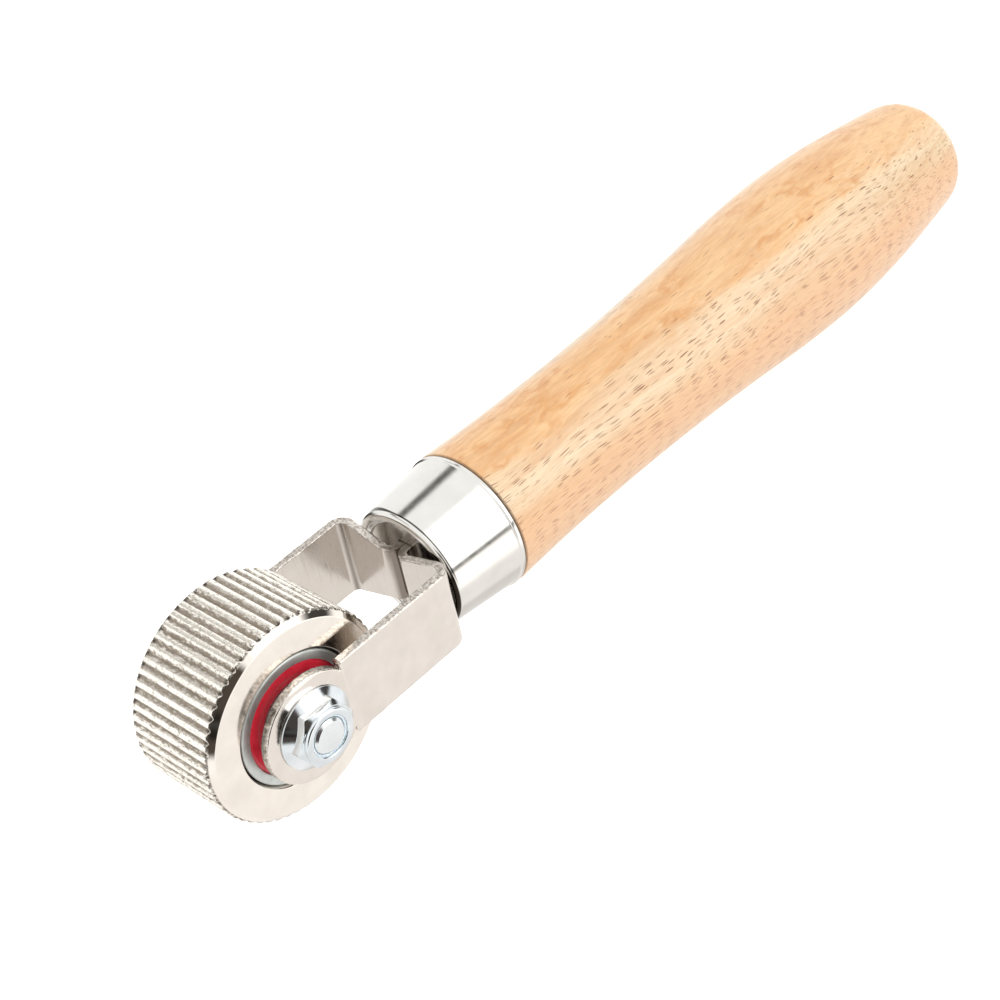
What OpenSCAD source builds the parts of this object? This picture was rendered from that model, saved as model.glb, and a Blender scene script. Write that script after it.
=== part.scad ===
// Hand seam roller: a ridged steel wheel on two 608 ball bearings, carried by a
// folded sheet fork whose tang runs through a ferrule into a turned wooden handle.
// Origin: centre of the wheel. +X: towards the butt. +Y: along the axle, from the
// nut to the bolt head. +Z: up. Millimetres.

/* [Wheel] */
// Radius over the ridges
wheel_r = 17.5; // [17:0.5:20]
// Width across the two flat faces
wheel_w = 18.5; // [18.5:0.5:20]
// Number of straight ridges round the rim
ridges = 56; // [40:1:64]
// Depth of the groove between two ridges
groove_depth = 0.42; // [0.3:0.02:0.5]
// Width of each groove at the rim
groove_w = 1.0; // [0.8:0.05:1.1]
// Radial size of the bevel beside the flat faces
bevel_r = 1.3; // [0.8:0.1:1.6]
// Axial size of the same bevel
bevel_w = 1.05; // [0.6:0.05:1.2]

/* [Bearings] */
// How far each bearing sits below the wheel face
bearing_recess = 0.25; // [0.1:0.05:0.5]
// Number of balls in each bearing
ball_count = 7; // [6:1:8]

/* [Fork] */
// Thickness of the fork sheet
sheet_t = 1.5; // [1.2:0.1:1.6]
// Distance across the outer faces of the two arms
fork_w = 25.4; // [25:0.2:27]
// Height of the arms
arm_h = 14.5; // [13:0.5:16]
// Radius of the round eyes on the axle
eye_r = 9.3; // [9:0.1:10]
// Distance from the axle to the shoulder where the eye meets the arm
shoulder_x = 7.2; // [7:0.1:8]
// Distance from the axle to the back of the fork's web
web_back_x = 32; // [31:0.5:32]
// Outer radius of the two rear corners
corner_r = 2.8; // [2:0.1:3.5]
// Height of the web where it folds back into the tang
fold_h = 10.4; // [9:0.2:12]
// Radius of the fold into the tang
fold_r = 2.5; // [2:0.1:3]
// Length of the tang behind the web
tang_l = 26; // [20:1:30]

/* [Axle] */
// Length of the axle bolt under its head
bolt_l = 29; // [28.5:0.5:32]
// Height of the bolt head
head_h = 4; // [3.5:0.1:4.5]
// Radius of the nut's flange
flange_r = 6.8; // [6.6:0.1:7.4]
// Whole height of the lock nut
nut_h = 3.5; // [3.4:0.1:4.5]

/* [Ferrule] */
// Distance from the axle to the ferrule's front rim
ferrule_x = 32.8; // [32.8:0.1:34]
// Length of the ferrule
ferrule_l = 14.1; // [12:0.1:18]
// Outer radius at the front rim
ferrule_front_r = 11; // [10.5:0.1:11.5]
// Outer radius at the wood
ferrule_back_r = 12.4; // [12:0.1:12.6]
// Thickness of the ferrule sheet
ferrule_t = 0.8; // [0.6:0.1:1]

/* [Handle] */
// Distance from the axle to the butt
butt_x = 174; // [165:1:185]
// Radius of the wood at the ferrule
neck_r = 12.6; // [12.5:0.1:13]
// Radius of the waist behind the ferrule
waist_r = 12; // [11.5:0.1:12.4]
// Largest radius of the palm swell
swell_r = 14.5; // [13.5:0.1:15.5]
// Radius that the sides would reach at the butt
butt_r = 10.4; // [9:0.1:11]
// Radius of the rounded edge of the butt
butt_edge_r = 5.5; // [3:0.5:6]

/* [Hidden] */
$fn = 96;
small_fn = 32;
ball_fn = 48;
cut = 0.1;

near = -1;
far = 1;

// 608 ball bearing, sealed on both sides
bearing_w = 7;
bearing_r = 11;
bearing_bore_r = 4;
outer_land_r = 8.95;
inner_land_r = 6.05;
pitch_r = 7.5;
ball_r = 1.95;
race_r = 2.05;
ring_edge = 0.3;
seal_seat_r = 9.4;
seal_seat_y = 2.6;
seal_t = 0.7;
seal_gap = 0.12;
cage_r = 0.5;
cage_w = 4.9;
pocket_r = 2.03;
bearing_y = wheel_w / 2 - bearing_recess - bearing_w / 2;

// Bores of the wheel
land_r = 9.5;
seat_chamfer = 0.5;

// Bushes that fill the bearing bores round the bolt
bolt_r = 3;
bush_bore_r = 3.1;
bush_flange_r = 6;
bush_gap = 1;
spacer_r = 5.9;
spacer_bore_r = 4.1;
bearing_face_y = bearing_y + bearing_w / 2;
arm_in_y = fork_w / 2 - sheet_t;

// Bolt and nut
hex_af = 10;
hex_corner_r = hex_af / 2 / cos(30);
hex_bevel = 0.7;
hex_rim = 0.1;
bolt_chamfer = 0.7;
eye_bore_r = 3.2;
flange_t = 0.9;
flange_rise = 0.3;
hex_top = 2.9;
collar_r = 4.8;
collar_rise = 0.2;
lip_drop = 0.3;
thread_gap = 0.02;
lip_t = 0.55;
insert_r = 4.1;
insert_h = 1.1;
insert_sink = 0.35;

// Fork
web_front_x = web_back_x - sheet_t;
tang_x = web_front_x + fold_r;
taper_in_y = 2.4;
taper_out_y = 9.8;

// Ferrule and the wood inside it
end_recess = 0.9;
rim_r = 0.8;
lip_w = 0.6;
lip_rise = 0.15;
glue_gap = 0.05;
slot_gap = 0.1;
ferrule_back_x = ferrule_x + ferrule_l;
mortise_x = tang_x + tang_l + 1;

// Turned profile of the handle: its radius at equal steps from the ferrule to the butt
handle_l = butt_x - ferrule_back_x;
side_r = [
    neck_r, waist_r + 0.12, waist_r, waist_r + 0.15, waist_r + 0.6,
    (waist_r + swell_r) / 2 + 0.05, swell_r - 0.3, swell_r, swell_r - 0.7, swell_r - 2.2,
    butt_r
];
side_steps = 60;
edge_steps = 8;

// Turn a shape built round Z so that its axis lies along Y or along X
module along_y() rotate([-90, 0, 0]) children();
module along_x() rotate([0, 90, 0]) children();

// Radius i of the handle's side, carried on in a straight line past either end
function station(i) =
    i < 0 ? 2 * side_r[0] - side_r[1]
    : i >= len(side_r) ? 2 * side_r[len(side_r) - 1] - side_r[len(side_r) - 2]
    : side_r[i];

// Smooth curve through four values, at t from 0 to 1 between the middle two
function blend(a, b, c, d, t) =
    0.5 * (2 * b + (c - a) * t + (2 * a - 5 * b + 4 * c - d) * t * t
    + (3 * b - a - 3 * c + d) * t * t * t);

// Radius of the handle's side at u, from 0 at the ferrule to 1 at the butt
function side_at(u) =
    let (spans = len(side_r) - 1, i = min(floor(u * spans), spans - 1))
    blend(station(i - 1), station(i), station(i + 1), station(i + 2), u * spans - i);

// Points [radius, distance from the axle] down the side and round the butt's edge
function side_points() =
    let (straight = 1 - butt_edge_r / handle_l)
    concat(
        [
            for (k = [0 : side_steps - 1])
                let (u = straight * k / side_steps)
                [side_at(u), ferrule_back_x + u * handle_l]
        ],
        [
            for (k = [0 : edge_steps])
                let (a = 90 * k / edge_steps, x = butt_x - butt_edge_r * (1 - sin(a)))
                [side_at((x - ferrule_back_x) / handle_l) - butt_edge_r * (1 - cos(a)), x]
        ]
    );

// Ring with a rectangular section, centred on Y = 0
module ring(r_in, r_out, w) {
    difference() {
        cylinder(r = r_out, h = w, center = true);
        cylinder(r = r_in, h = w + 2 * cut, center = true);
    }
}

// Straight-ridged rim, cut to length and bevelled, with a stepped bore
module roller_wheel() {
    cutter_r = (groove_w * groove_w / 4 + groove_depth * groove_depth) / (2 * groove_depth);
    seat_y = bearing_y - bearing_w / 2;
    color("gainsboro") along_y() intersection() {
        difference() {
            linear_extrude(wheel_w, center = true) difference() {
                circle(r = wheel_r);
                for (i = [0 : ridges - 1])
                    rotate(i * 360 / ridges)
                        translate([wheel_r - groove_depth + cutter_r, 0])
                            circle(r = cutter_r, $fn = small_fn);
            }
            cylinder(r = land_r, h = wheel_w, center = true);
            for (side = [near, far]) mirror([0, 0, side < 0 ? 1 : 0]) {
                translate([0, 0, seat_y]) cylinder(r = bearing_r, h = wheel_w);
                translate([0, 0, wheel_w / 2 - seat_chamfer])
                    cylinder(r1 = bearing_r, r2 = bearing_r + 2 * seat_chamfer, h = 2 * seat_chamfer);
            }
        }
        rotate_extrude() polygon([
            [0, -wheel_w / 2],
            [wheel_r - bevel_r, -wheel_w / 2],
            [wheel_r + bevel_r, -wheel_w / 2 + 2 * bevel_w],
            [wheel_r + bevel_r, wheel_w / 2 - 2 * bevel_w],
            [wheel_r - bevel_r, wheel_w / 2],
            [0, wheel_w / 2]
        ]);
    }
}

// Outer ring with its ball track and the two seats for the seals
module outer_ring(side) {
    h = bearing_w / 2;
    color("silver") translate([0, side * bearing_y, 0]) along_y() rotate_extrude() difference() {
        polygon([
            [seal_seat_r, -h], [bearing_r - ring_edge, -h], [bearing_r, -h + ring_edge],
            [bearing_r, h - ring_edge], [bearing_r - ring_edge, h], [seal_seat_r, h],
            [seal_seat_r, seal_seat_y], [outer_land_r, seal_seat_y],
            [outer_land_r, -seal_seat_y], [seal_seat_r, -seal_seat_y]
        ]);
        translate([pitch_r, 0]) circle(r = race_r);
    }
}

// Inner ring with its ball track
module inner_ring(side) {
    h = bearing_w / 2;
    color("silver") translate([0, side * bearing_y, 0]) along_y() rotate_extrude() difference() {
        polygon([
            [bearing_bore_r, -h], [inner_land_r - ring_edge, -h], [inner_land_r, -h + ring_edge],
            [inner_land_r, h - ring_edge], [inner_land_r - ring_edge, h], [bearing_bore_r, h]
        ]);
        translate([pitch_r, 0]) circle(r = race_r);
    }
}

module at_balls() {
    for (i = [0 : ball_count - 1])
        rotate([0, i * 360 / ball_count, 0]) translate([pitch_r, 0, 0]) children();
}

module balls(side) {
    color("lightgray") translate([0, side * bearing_y, 0]) at_balls() sphere(r = ball_r, $fn = ball_fn);
}

// One-piece ring cage with a round pocket for each ball
module cage(side) {
    color("goldenrod") translate([0, side * bearing_y, 0]) difference() {
        along_y() ring(pitch_r - cage_r, pitch_r + cage_r, cage_w);
        at_balls() along_x() cylinder(r = pocket_r, h = 4 * cage_r, center = true);
    }
}

// Rubber seal; out is 1 for the face that looks away from the wheel's middle
module seal(side, out) {
    color("crimson") translate([0, side * (bearing_y + out * (seal_seat_y + seal_t / 2)), 0])
        along_y() ring(inner_land_r + seal_gap, seal_seat_r, seal_t);
}

// Tube that holds the two inner rings apart
module ring_spacer() {
    color("darkgray") along_y() ring(spacer_bore_r, spacer_r, 2 * (bearing_y - bearing_w / 2));
}

// Flanged bush: a spigot through the bearing bore and a collar up to the fork arm
module bush(side) {
    color("darkgray") mirror([0, side < 0 ? 1 : 0, 0]) along_y() difference() {
        union() {
            translate([0, 0, bush_gap]) cylinder(r = bearing_bore_r, h = bearing_face_y - bush_gap);
            translate([0, 0, bearing_face_y])
                cylinder(r = bush_flange_r, h = arm_in_y - bearing_face_y);
        }
        cylinder(r = bush_bore_r, h = fork_w, center = true);
    }
}

// Hexagonal prism with its far corners turned to a shallow cone
module hexagon(height, bevel) {
    intersection() {
        cylinder(r = hex_corner_r, h = height, $fn = 6);
        rotate_extrude() polygon([
            [0, 0], [hex_corner_r + cut, 0], [hex_corner_r + cut, height - bevel],
            [hex_af / 2 - hex_rim, height], [0, height]
        ]);
    }
}

// M6 hexagon bolt, with its head against the far arm
module axle_bolt() {
    color("silver") translate([0, fork_w / 2, 0]) along_y() {
        hexagon(head_h, hex_bevel);
        translate([0, 0, bolt_chamfer - bolt_l]) cylinder(r = bolt_r, h = bolt_l - bolt_chamfer);
        translate([0, 0, -bolt_l])
            cylinder(r1 = bolt_r - bolt_chamfer, r2 = bolt_r, h = bolt_chamfer);
    }
}

// Flanged hexagon nut whose round collar is rolled over a nylon ring
module lock_nut() {
    collar_z = nut_h - insert_h;
    color("aliceblue") translate([0, -fork_w / 2, 0]) mirror([0, 1, 0]) along_y() difference() {
        union() {
            rotate_extrude() polygon([
                [0, 0], [flange_r, 0], [flange_r, flange_t / 2],
                [hex_af / 2, flange_t + flange_rise], [0, flange_t + flange_rise]
            ]);
            hexagon(hex_top, hex_bevel);
            rotate_extrude() polygon([
                [0, 0], [collar_r, 0], [collar_r, hex_top + collar_rise],
                [collar_r - lip_t / 2, nut_h - lip_drop], [insert_r, nut_h], [0, nut_h]
            ]);
        }
        translate([0, 0, -cut]) cylinder(r = bolt_r + thread_gap, h = nut_h + 2 * cut);
        translate([0, 0, collar_z]) cylinder(r = insert_r, h = nut_h);
    }
}

// Nylon ring gripped by the nut's collar
module nut_insert() {
    color("white") translate([0, -fork_w / 2 - nut_h + insert_h - (insert_h - insert_sink) / 2, 0])
        along_y() ring(bolt_r + thread_gap, insert_r, insert_h - insert_sink);
}

// Quarter of a bent sheet, in the corner between +X and +Y
module bend(r_out) {
    intersection() {
        difference() {
            circle(r = r_out);
            circle(r = r_out - sheet_t);
        }
        square(r_out);
    }
}

// One arm and its half of the web, seen from above
module half_sheet() {
    arm_y = fork_w / 2;
    corner_x = web_back_x - corner_r;
    translate([-eye_r - cut, arm_y - sheet_t]) square([eye_r + cut + corner_x, sheet_t]);
    translate([corner_x, arm_y - corner_r]) bend(corner_r);
    translate([web_front_x, fold_r]) square([sheet_t, arm_y - corner_r - fold_r]);
    translate([tang_x, fold_r]) rotate(180) bend(fold_r);
}

// Side outline: round eye, straight arm and narrower tang
module side_outline() {
    circle(r = eye_r);
    translate([shoulder_x, -arm_h / 2]) square([web_back_x - shoulder_x, arm_h]);
    translate([0, -fold_h / 2]) square([tang_x + tang_l, fold_h]);
}

// Front outline: the web narrows towards the fold
module front_outline() {
    edge = [
        [-fork_w, eye_r + cut], [-taper_out_y, eye_r + cut], [-taper_out_y, arm_h / 2],
        [-taper_in_y, fold_h / 2], [taper_in_y, fold_h / 2], [taper_out_y, arm_h / 2],
        [taper_out_y, eye_r + cut], [fork_w, eye_r + cut]
    ];
    polygon(concat(edge, [for (p = edge) -p]));
}

// Strip of sheet bent into two arms, a tapered web and a double tang
module fork() {
    color("lightgray") difference() {
        intersection() {
            linear_extrude(3 * eye_r, center = true) {
                half_sheet();
                mirror([0, 1]) half_sheet();
                translate([tang_x, -sheet_t]) square([tang_l, 2 * sheet_t]);
            }
            rotate([90, 0, 0]) linear_extrude(2 * fork_w, center = true) side_outline();
            rotate([90, 0, 90]) translate([0, 0, -2 * eye_r])
                linear_extrude(2 * (tang_x + tang_l)) front_outline();
        }
        along_y() cylinder(r = eye_bore_r, h = 2 * fork_w, center = true);
    }
}

// Drawn cone with a rolled front rim, a sunk end wall and a slot for the tang
module ferrule() {
    end_x = ferrule_x + end_recess;
    wall = ferrule_t;
    slope = (ferrule_back_r - ferrule_front_r) / ferrule_l;
    color("gainsboro") difference() {
        along_x() rotate_extrude() difference() {
            union() {
                translate([ferrule_front_r - rim_r, ferrule_x + rim_r]) circle(r = rim_r);
                polygon([
                    [0, end_x], [ferrule_front_r - rim_r, end_x],
                    [ferrule_front_r + slope * rim_r, ferrule_x + rim_r],
                    [ferrule_back_r, ferrule_back_x - lip_w],
                    [ferrule_back_r + lip_rise, ferrule_back_x - lip_w / 2],
                    [ferrule_back_r + lip_rise, ferrule_back_x],
                    [0, ferrule_back_x]
                ]);
            }
            polygon([
                [0, end_x + wall],
                [ferrule_front_r + slope * (end_recess + wall) - wall, end_x + wall],
                [ferrule_back_r - wall, ferrule_back_x],
                [ferrule_back_r - wall, ferrule_back_x + cut],
                [0, ferrule_back_x + cut]
            ]);
        }
        translate([ferrule_x, -sheet_t - slot_gap, -fold_h / 2 - slot_gap])
            cube([2 * end_recess + wall, 2 * (sheet_t + slot_gap), fold_h + 2 * slot_gap]);
    }
}

// Turned handle: a tenon inside the ferrule, then the neck, waist, swell and butt
module handle() {
    slope = (ferrule_back_r - ferrule_front_r) / ferrule_l;
    tenon_x = ferrule_x + end_recess + ferrule_t + glue_gap;
    tenon_gap = ferrule_t + glue_gap;
    color("burlywood") difference() {
        along_x() rotate_extrude() {
            polygon(concat(
                [
                    [0, tenon_x],
                    [ferrule_front_r + slope * (tenon_x - ferrule_x) - tenon_gap, tenon_x],
                    [ferrule_back_r - tenon_gap, ferrule_back_x]
                ],
                side_points(),
                [[0, butt_x]]
            ));
        }
        translate([tenon_x - cut, -sheet_t - slot_gap, -fold_h / 2 - slot_gap])
            cube([mortise_x - tenon_x + cut, 2 * (sheet_t + slot_gap), fold_h + 2 * slot_gap]);
    }
}

roller_wheel();
outer_ring(near);  // near_outer_ring
inner_ring(near);  // near_inner_ring
balls(near);  // near_balls
cage(near);  // near_cage
seal(near, 1);  // near_outward_seal
seal(near, -1);  // near_inward_seal
outer_ring(far);  // far_outer_ring
inner_ring(far);  // far_inner_ring
balls(far);  // far_balls
cage(far);  // far_cage
seal(far, 1);  // far_outward_seal
seal(far, -1);  // far_inward_seal
ring_spacer();
bush(near);  // near_bush
bush(far);  // far_bush
axle_bolt();
lock_nut();
nut_insert();
fork();
ferrule();
handle();
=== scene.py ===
import math

import bmesh
import bpy
import numpy as np
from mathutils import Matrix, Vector
from mathutils.geometry import tessellate_polygon


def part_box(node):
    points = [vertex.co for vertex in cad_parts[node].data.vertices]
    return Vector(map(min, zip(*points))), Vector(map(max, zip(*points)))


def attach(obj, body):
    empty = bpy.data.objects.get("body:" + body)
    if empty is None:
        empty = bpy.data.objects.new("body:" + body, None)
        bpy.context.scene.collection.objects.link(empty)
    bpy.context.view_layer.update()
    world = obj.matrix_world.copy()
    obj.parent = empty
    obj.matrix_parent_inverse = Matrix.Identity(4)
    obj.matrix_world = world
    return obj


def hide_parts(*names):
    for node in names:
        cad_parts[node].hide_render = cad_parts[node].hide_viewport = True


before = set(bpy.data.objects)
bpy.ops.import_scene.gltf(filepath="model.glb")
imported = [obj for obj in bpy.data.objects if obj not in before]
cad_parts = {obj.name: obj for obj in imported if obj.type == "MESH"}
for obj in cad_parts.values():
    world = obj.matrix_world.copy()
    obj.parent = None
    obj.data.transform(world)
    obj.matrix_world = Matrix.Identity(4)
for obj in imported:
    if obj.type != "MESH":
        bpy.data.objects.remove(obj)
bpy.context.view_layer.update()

MM = 0.001
NEAR, FAR = -1, 1
FULL_TURN = 2 * math.pi
rng = np.random.default_rng(11)


def span(node):
    """Lowest and highest corner of a CAD node, in millimetres."""
    low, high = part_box(node)
    return np.round(np.array(low) / MM, 2), np.round(np.array(high) / MM, 2)


# Sizes read from the frame
wheel_r = round(float(span("roller_wheel")[1][0]), 1)
wheel_half_w = float(span("roller_wheel")[1][1])
bearing_r = float(span("far_outer_ring")[1][0])
bearing_in_y, bearing_out_y = (float(corner[1]) for corner in span("far_outer_ring"))
seal_r = float(span("far_outward_seal")[1][0])
seal_in_y, seal_out_y = (float(corner[1]) for corner in span("far_outward_seal"))
arm_y = float(span("fork")[1][1])
eye_r = -float(span("fork")[0][0])
tang_end_x = float(span("fork")[1][0])
bolt_end_y, head_top_y = (float(corner[1]) for corner in span("axle_bolt"))
head_af = 2 * float(span("axle_bolt")[1][2])
flange_r = float(span("lock_nut")[1][0])
nut_top_y = float(span("lock_nut")[0][1])
insert_out_y, insert_in_y = (float(corner[1]) for corner in span("nut_insert"))
insert_r = float(span("nut_insert")[1][0])
ferrule_x, ferrule_end_x = (float(corner[0]) for corner in span("ferrule"))
lip_r = float(span("ferrule")[1][2])
tenon_x, butt_x = (float(corner[0]) for corner in span("handle"))


# ---------------------------------------------------------------- mesh helpers

def piece(name, parts, body, material, nodes, crisp=38):
    """One object from (points, faces) parts in millimetres. It rides on body and stands for nodes."""
    points, faces = [], []
    for part_points, part_faces in parts:
        start = len(points)
        points.extend(np.asarray(part_points, float) * MM)
        faces.extend([start + corner for corner in dict.fromkeys(face)] for face in part_faces)
    mesh = bpy.data.meshes.new(name)
    mesh.from_pydata([tuple(point) for point in points], [], faces)
    work = bmesh.new()
    work.from_mesh(mesh)
    bmesh.ops.remove_doubles(work, verts=work.verts, dist=1e-6)
    bmesh.ops.recalc_face_normals(work, faces=work.faces)
    work.to_mesh(mesh)
    work.free()
    mesh.shade_smooth()
    mesh.set_sharp_from_angle(angle=math.radians(crisp))
    mesh.materials.append(material)
    made = bpy.data.objects.new(name, mesh)
    bpy.context.scene.collection.objects.link(made)
    weighted = made.modifiers.new("weighted", "WEIGHTED_NORMAL")
    weighted.keep_sharp = True
    weighted.weight = 90
    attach(made, body)
    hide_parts(*nodes)
    return made


def smoother_min(a, b, blend):
    """The smaller of a and b, with a round change-over about blend wide."""
    share = np.clip(0.5 + 0.5 * (b - a) / blend, 0, 1)
    return b + (a - b) * share - blend * share * (1 - share)


def rounded(corners, arc=9):
    """A closed outline through (x, y, corner radius) corners; arc is degrees for each step of a round."""
    outline = []
    for index, (x, y, radius) in enumerate(corners):
        here = np.array([x, y], float)
        if radius == 0:
            outline.append(here)
            continue
        back = np.array(corners[index - 1][:2], float) - here
        ahead = np.array(corners[(index + 1) % len(corners)][:2], float) - here
        back /= np.linalg.norm(back)
        ahead /= np.linalg.norm(ahead)
        half = math.acos(np.clip(back @ ahead, -1, 1)) / 2
        centre = here + (back + ahead) / np.linalg.norm(back + ahead) * radius / math.sin(half)
        start = here + back * radius / math.tan(half) - centre
        side = here + ahead * radius / math.tan(half) - centre
        sweep = math.pi - 2 * half
        steps = max(1, math.ceil(math.degrees(sweep) / arc))
        for step in range(steps + 1):
            turn = sweep * step / steps
            outline.append(
                centre + (start * math.sin(sweep - turn) + side * math.sin(turn)) / math.sin(sweep)
            )
    return np.array(outline)


def lofted(rings):
    """Points and faces of a closed skin through rings of shape (rings, steps, 3), joined end to end."""
    rows, steps = rings.shape[:2]
    faces = []
    for row in range(rows):
        after = (row + 1) % rows
        for step in range(steps):
            right = (step + 1) % steps
            faces.append(
                [row * steps + step, row * steps + right, after * steps + right, after * steps + step]
            )
    return rings.reshape(-1, 3), faces


def turned(outline, steps, along="Y", shape=None):
    """A closed (radius, place) outline turned about an axis. shape may change the radius and place."""
    angle = np.arange(steps) * FULL_TURN / steps
    radius = np.repeat(np.asarray(outline)[:, :1], steps, 1)
    place = np.repeat(np.asarray(outline)[:, 1:], steps, 1)
    if shape is not None:
        radius, place = shape(radius, place, angle)
    across, up = radius * np.cos(angle), radius * np.sin(angle)
    order = (across, place, up) if along == "Y" else (place, across, up)
    return lofted(np.stack(order, -1))


def mirrored(part):
    """The same part on the other side of the plane Y = 0."""
    points, faces = part
    return np.asarray(points) * [1, -1, 1], [list(reversed(face)) for face in faces]


# ------------------------------------------------------------ material helpers

class Nodes:
    """Short calls for the nodes of one tree."""

    def __init__(self, tree):
        self.tree = tree

    def feed(self, socket, value):
        if isinstance(value, bpy.types.NodeSocket):
            self.tree.links.new(value, socket)
        else:
            socket.default_value = value

    def node(self, kind, inputs=None, **settings):
        made = self.tree.nodes.new(kind)
        for setting, value in settings.items():
            setattr(made, setting, value)
        for socket, value in (inputs or {}).items():
            self.feed(made.inputs[socket], value)
        return made

    def math(self, operation, first, second=0.0):
        return self.node("ShaderNodeMath", {0: first, 1: second}, operation=operation).outputs[0]

    def span(self, value, low, high, to_low=0.0, to_high=1.0, smooth=False):
        """value taken from low..high to to_low..to_high, and held at the ends."""
        made = self.node(
            "ShaderNodeMapRange",
            {0: value, 1: low, 2: high, 3: to_low, 4: to_high},
            interpolation_type="SMOOTHSTEP" if smooth else "LINEAR",
        )
        return made.outputs[0]

    def mix(self, share, first, second):
        """First colour to second as share goes from 0 to 1."""
        made = self.node("ShaderNodeMix", data_type="RGBA")
        for socket, value in ((0, share), (6, first), (7, second)):
            if isinstance(value, tuple):
                value = (*value, 1)
            self.feed(made.inputs[socket], value)
        return made.outputs[2]


class Look(Nodes):
    """A material with one Principled shader, and short calls for the nodes that feed it."""

    def __init__(self, name, settings):
        self.material = bpy.data.materials.new(name)
        self.material.use_nodes = True
        super().__init__(self.material.node_tree)
        self.shader = self.tree.nodes["Principled BSDF"]
        for socket, value in settings.items():
            self.set(socket, value)
        self.place = self.node("ShaderNodeTexCoord").outputs["Object"]

    def set(self, socket, value):
        self.feed(self.shader.inputs[socket], value)

    def stretched(self, scale, place=None):
        """Coordinates scaled by one number for each axis, in features per metre."""
        return self.node(
            "ShaderNodeVectorMath", {0: place or self.place, 1: scale}, operation="MULTIPLY"
        ).outputs[0]

    def noise(self, scale, detail=3.0, place=None, roughness=0.55):
        """Noise from 0 to 1; scale is one number or three, in features per metre."""
        scale = scale if isinstance(scale, tuple) else (scale,) * 3
        return self.node(
            "ShaderNodeTexNoise",
            {"Vector": self.stretched(scale, place), "Scale": 1.0, "Detail": detail,
             "Roughness": roughness},
        ).outputs["Fac"]

    def cells(self, scale, place=None):
        """A Voronoi node with distances and random colours; scale as for noise."""
        scale = scale if isinstance(scale, tuple) else (scale,) * 3
        return self.node("ShaderNodeTexVoronoi", {
            "Vector": self.stretched(scale, place), "Scale": 1.0, "Randomness": 1.0,
        })

    def ramp(self, value, *stops):
        """A colour for each (place, red, green, blue) stop."""
        made = self.node("ShaderNodeValToRGB", {"Fac": value})
        elements = made.color_ramp.elements
        while len(elements) < len(stops):
            elements.new(0.5)
        for element, (place, red, green, blue) in zip(elements, stops):
            element.position = place
            element.color = (red, green, blue, 1)
        return made.outputs["Color"]

    def distance(self, x=0.0, y=0.0, z=0.0):
        """Distance from the origin in metres, counting each axis by its weight."""
        return self.node(
            "ShaderNodeVectorMath", {0: self.stretched((x, y, z))}, operation="LENGTH"
        ).outputs["Value"]

    def axis(self, name):
        """One coordinate of the object, in metres."""
        return self.node("ShaderNodeSeparateXYZ", {0: self.place}).outputs[name]

    def size(self, name):
        """Distance from the middle along one axis, in metres."""
        return self.math("ABSOLUTE", self.axis(name))

    def times(self, first, *others):
        """The product of some masks and strengths."""
        for other in others:
            first = self.math("MULTIPLY", first, other)
        return first

    def rise(self, value, low, high):
        """A mask that comes up from 0 to 1 between two places in millimetres; high may be the lower."""
        if high > low:
            return self.span(value, low * MM, high * MM)
        return self.span(value, high * MM, low * MM, 1, 0)

    def over(self, socket, share, value):
        """Mixes value over what already feeds a shader socket."""
        below = self.shader.inputs[socket].links[0].from_socket
        if socket == "Base Color":
            self.set(socket, self.mix(share, below, value))
            return
        gap = self.math("SUBTRACT", value, below)
        self.set(socket, self.math("ADD", below, self.math("MULTIPLY", gap, share)))

    def bump(self, height, depth, strength=1.0, under=None):
        """Height from 0 to 1 as a bump depth metres deep."""
        inputs = {"Height": height, "Distance": depth, "Strength": strength}
        if under is not None:
            inputs["Normal"] = under
        return self.node("ShaderNodeBump", inputs).outputs["Normal"]


def metal(name, dull, bright, roughness, grain, pits=0.0):
    """Plated or turned metal: two tones in soft patches, uneven gloss, a fine tooth and stray pits."""
    look = Look(name, {"Metallic": 1.0})
    patches = look.noise(260, 4)
    tone = look.mix(look.span(patches, 0.3, 0.7), dull, bright)
    fine = look.noise(grain, 3)
    gloss = look.span(look.noise(900, 3), 0.3, 0.75, roughness * 0.8, roughness * 1.3)
    look.set("Roughness", gloss)
    normal = look.bump(fine, 0.00002, 0.25)
    if pits > 0:
        spots = look.cells(700)
        picked = look.math("LESS_THAN", spots.outputs["Color"], pits)
        mark = look.times(look.span(spots.outputs["Distance"], 0.32, 0.1, smooth=True), picked)
        tone = look.mix(mark, tone, (0.35, 0.24, 0.17))
        normal = look.bump(look.math("SUBTRACT", 1.0, mark), 0.00004, 0.6, normal)
    look.set("Base Color", tone)
    look.set("Normal", normal)
    return look


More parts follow.
